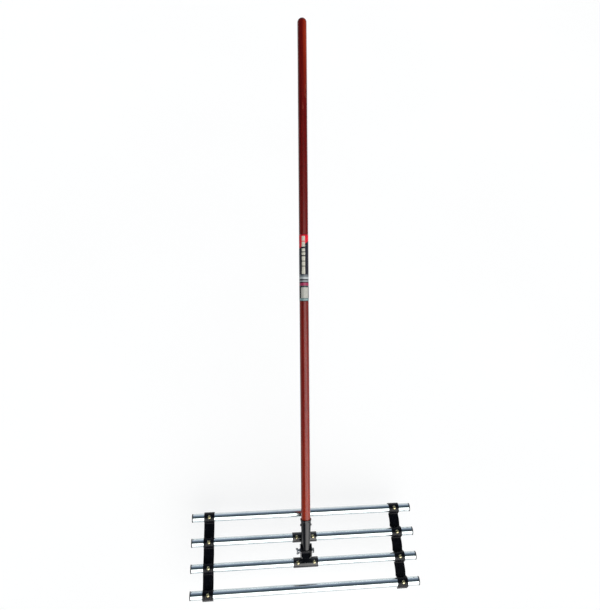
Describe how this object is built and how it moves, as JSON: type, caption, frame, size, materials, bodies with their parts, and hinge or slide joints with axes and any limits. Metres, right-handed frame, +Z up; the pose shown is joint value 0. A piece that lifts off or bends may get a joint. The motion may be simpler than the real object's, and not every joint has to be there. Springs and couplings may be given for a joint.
{
  "type": "lawn leveller",
  "caption": "Lawn leveller: round steel tubes side by side on two ribbed black belts, with a hinged hub, wing nut, tapered socket and long stained wooden handle.",
  "frame": {"origin": "on the ground under the middle of the head, midway between the middle two tubes", "axes": "+X along the tubes, +Y to the side the handle leans over, +Z up from the ground"},
  "size_m": [0.7, 1.5747, 0.7685],
  "materials": {
    "zinc_tube": "bright zinc plating with faint draw lines",
    "plug_plastic": "moulded, matt black",
    "yellow_zinc": "yellow passivated zinc",
    "bright_zinc": "bright zinc plating",
    "belt_rubber": "black, ribbed lengthwise over a woven core",
    "black_paint": "black satin powder coat",
    "black_rivet": "black, worn at the crown",
    "stained_wood": "turned hardwood, red-brown stain under satin varnish",
    "label_print": "printed film wrap"
  },
  "bodies": {
    "handle": {"wooden_handle": "stained_wood", "handle_label": "label_print", "handle_socket": "black_paint", "socket_rivets": "black_rivet", "pivot_barrel": "black_paint"},
    "head": {"tube_2": "zinc_tube", "tube_3": "zinc_tube", "end_plug_2_left": "plug_plastic", "end_plug_2_right": "plug_plastic", "end_plug_3_left": "plug_plastic", "end_plug_3_right": "plug_plastic", "belt_left_middle": "belt_rubber", "belt_right_middle": "belt_rubber", "belt_screws_middle": "yellow_zinc", "hub_saddle_rear": "black_paint", "hub_saddle_front": "black_paint", "hub_spine": "black_paint", "hub_screws": "yellow_zinc", "yoke": "black_paint", "pivot_bolt": "bright_zinc", "bolt_head_washer": "bright_zinc"},
    "rear_tube": {"tube_1": "zinc_tube", "end_plug_1_left": "plug_plastic", "end_plug_1_right": "plug_plastic", "belt_left_rear": "belt_rubber", "belt_right_rear": "belt_rubber", "belt_screws_rear": "yellow_zinc"},
    "front_tube": {"tube_4": "zinc_tube", "end_plug_4_left": "plug_plastic", "end_plug_4_right": "plug_plastic", "belt_left_front": "belt_rubber", "belt_right_front": "belt_rubber", "belt_screws_front": "yellow_zinc"},
    "washer": {"pivot_washer": "bright_zinc"},
    "wing_nut": {"wing_nut": "bright_zinc"}
  },
  "joints": [
    {"name": "head_tilt", "type": "hinge", "parent": "handle", "child": "head", "pos_m": [0, -0.0038, 0.045], "axis": [1, 0, 0], "range_deg": [-105, 18]},
    {"name": "rear_tube_flex", "type": "hinge", "parent": "head", "child": "rear_tube", "pos_m": [0, 0.0711, 0.0087], "axis": [1, 0, 0], "range_deg": [-30, 30], "stiffness_Nm_per_rad": 2},
    {"name": "front_tube_flex", "type": "hinge", "parent": "head", "child": "front_tube", "pos_m": [0, -0.0711, 0.0087], "axis": [1, 0, 0], "range_deg": [-30, 30], "stiffness_Nm_per_rad": 2},
    {"name": "washer_slide", "type": "slide", "parent": "head", "child": "washer", "axis": [-1, 0, 0], "range_m": [0, 0.0025]},
    {"name": "wing_nut_turn", "type": "hinge", "parent": "washer", "child": "wing_nut", "pos_m": [0, -0.0038, 0.045], "axis": [-1, 0, 0], "range_deg": [0, 725]}
  ],
  "couplings": [
    {"joint": "wing_nut_turn", "follows": "washer_slide", "rad_per_m": 5026.5}
  ]
}
